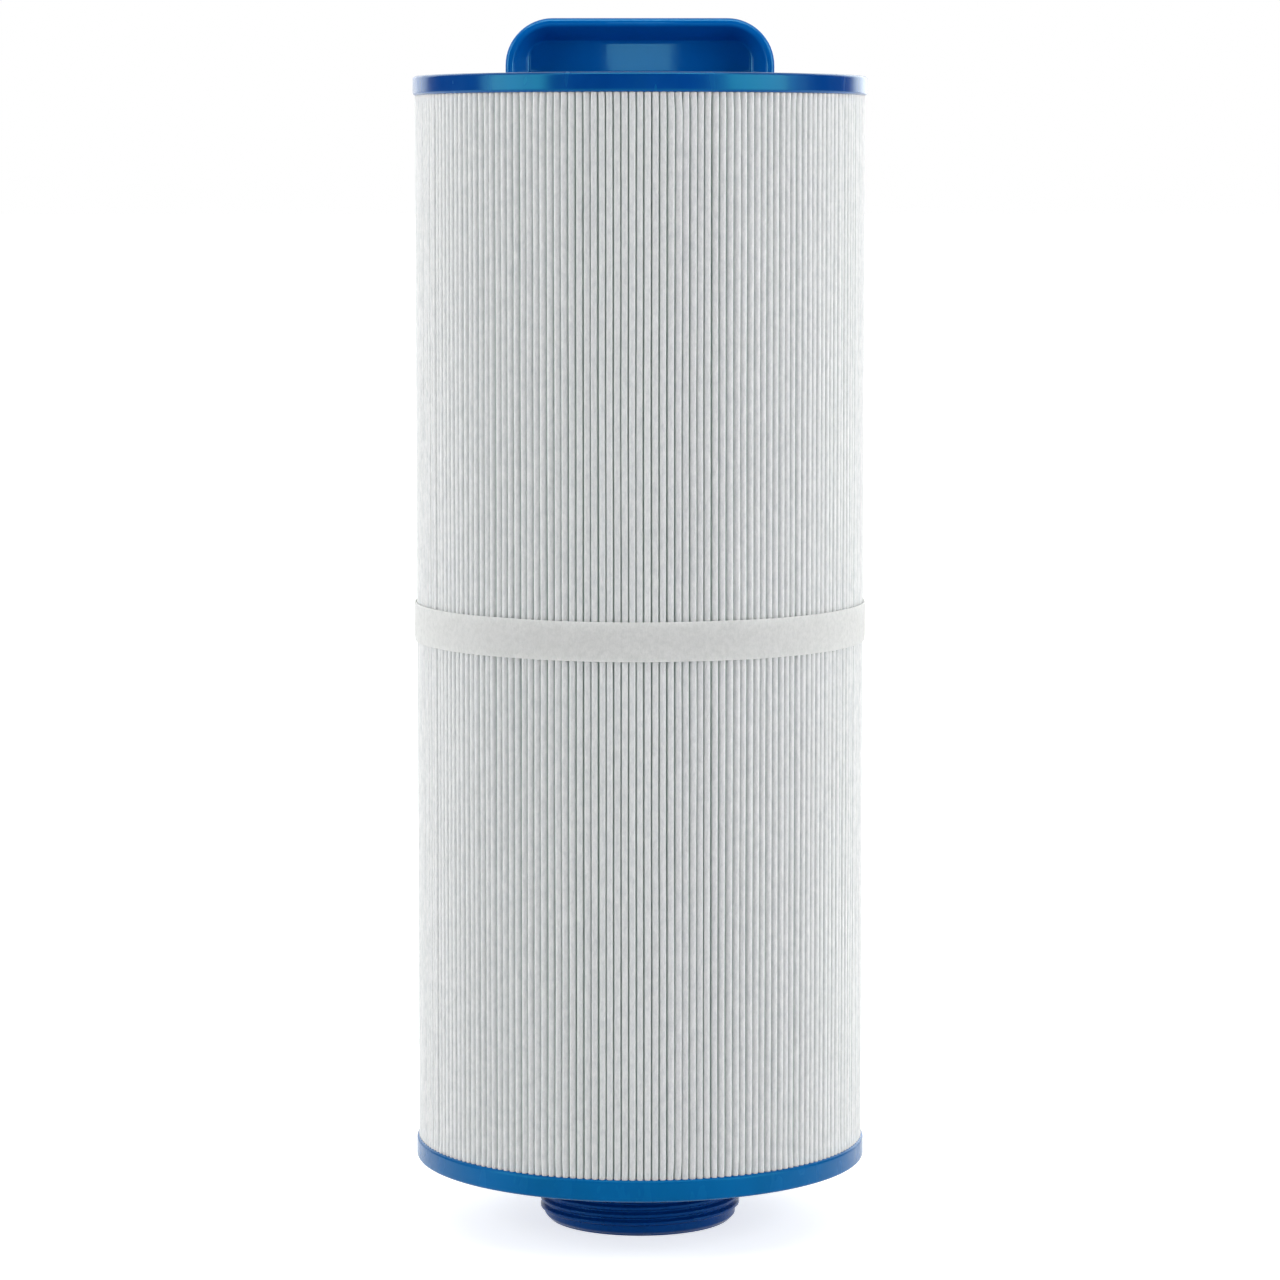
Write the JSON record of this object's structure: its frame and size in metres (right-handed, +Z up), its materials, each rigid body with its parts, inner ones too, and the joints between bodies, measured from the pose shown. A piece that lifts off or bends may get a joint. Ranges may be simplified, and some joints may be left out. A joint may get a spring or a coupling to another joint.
{
  "type": "pool filter cartridge",
  "caption": "Pleated cylindrical spa filter cartridge with moulded end caps, a recessed top grip, a retaining band and a coarse-threaded open outlet neck below.",
  "frame": {"origin": "centre of the outlet neck's lower end, which is the lowest face of the cartridge", "axes": "+Z up along the cartridge's axis, towards the grip; X along the grip's width; the grip's recesses face -Y and +Y"},
  "size_m": [0.1256, 0.126, 0.335],
  "materials": {
    "adapter_plastic": "gloss",
    "cap_urethane": "semi-gloss",
    "handle_plastic": "gloss",
    "core_plastic": "matte",
    "filter_cloth": "matte",
    "band_cloth": "matte",
    "adhesive": "satin"
  },
  "bodies": {
    "root": {"threaded_adapter": "adapter_plastic", "bottom_end_cap": "cap_urethane", "core_section_lower": "core_plastic", "core_section_upper": "core_plastic", "core_plug": "core_plastic", "pleated_media": "filter_cloth", "seam_adhesive": "adhesive", "band_adhesive": "adhesive", "retaining_band": "band_cloth", "handle": "handle_plastic", "top_end_cap": "cap_urethane"}
  },
  "joints": []
}
